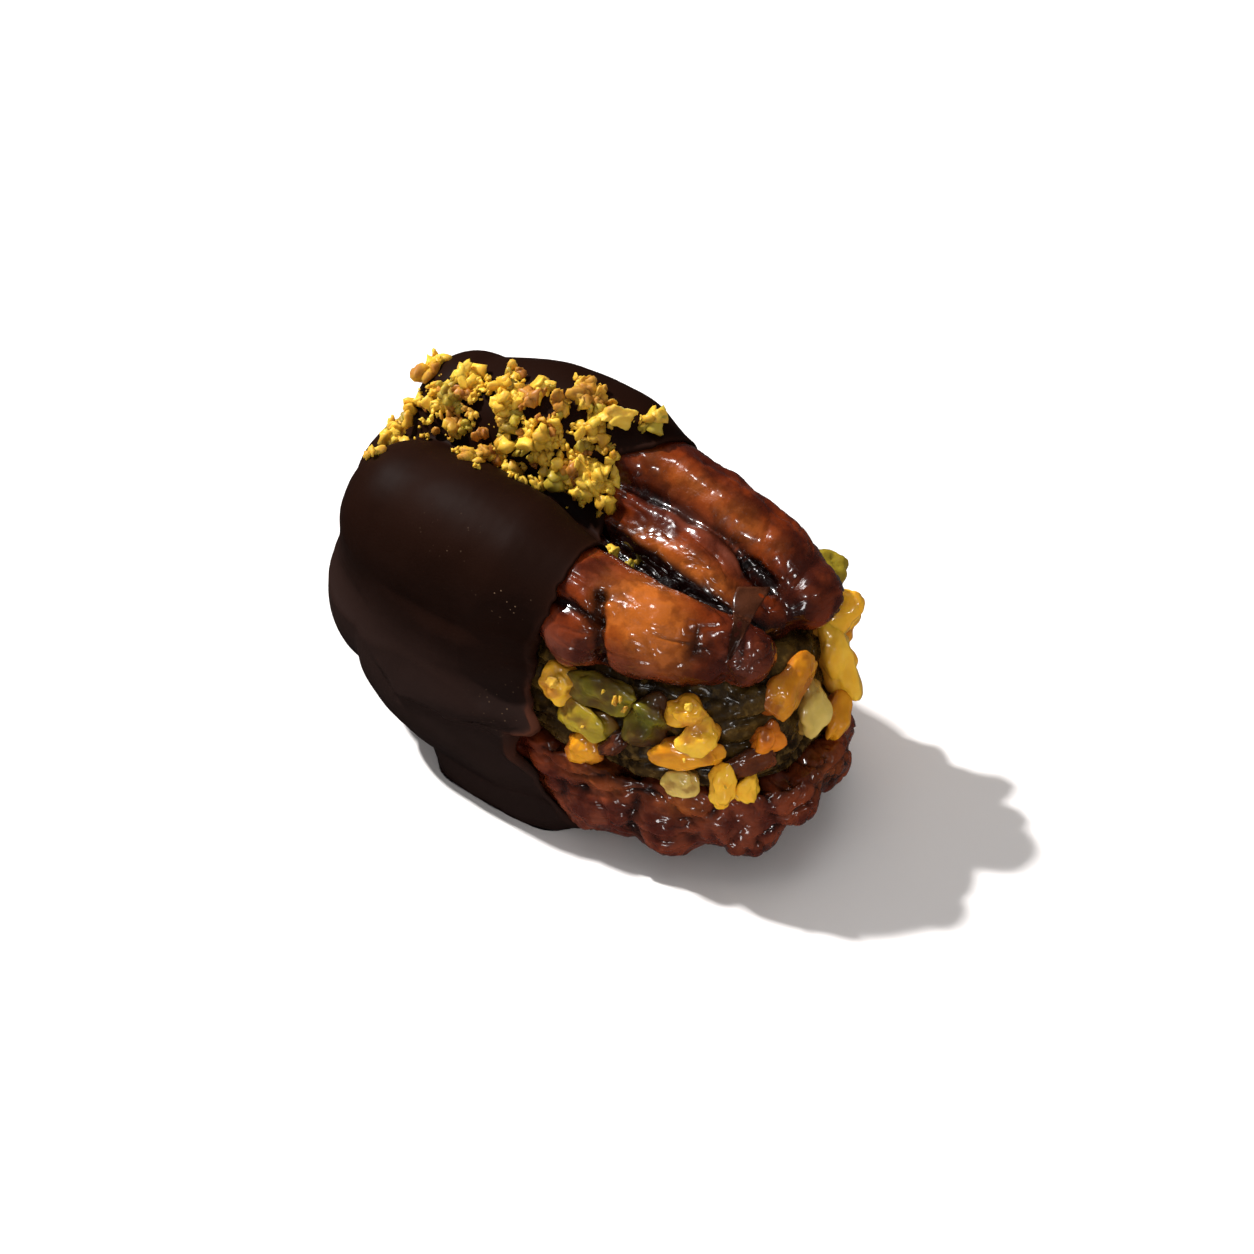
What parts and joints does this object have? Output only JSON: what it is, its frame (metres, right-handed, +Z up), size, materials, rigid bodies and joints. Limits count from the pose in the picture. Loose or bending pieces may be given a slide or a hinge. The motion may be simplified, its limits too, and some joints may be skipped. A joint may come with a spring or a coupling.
{
  "type": "chocolate dipped date and pecan sweet",
  "caption": "Date flesh sandwiched between glazed pecan halves, studded with chopped pistachio round its waist and dipped in dark chocolate over one end, with pistachio crumbs on top.",
  "frame": {"origin": "middle of the bounding box's base, where the sweet stands on its chocolate foot", "axes": "+X along the sweet towards its bare pecan end, -Y towards the side that shows the torn edge of the chocolate, +Z up"},
  "size_m": [0.038, 0.0234, 0.0242],
  "materials": {
    "chocolate": "satin dark brown",
    "date": "moist olive brown with yellow and green nut pieces",
    "pecan": "glossy syrup glaze on red brown"
  },
  "bodies": {
    "root": {"chocolate_coat": "chocolate", "date_layer": "date", "pecan_top": "pecan", "pecan_bottom": "pecan"}
  },
  "joints": []
}
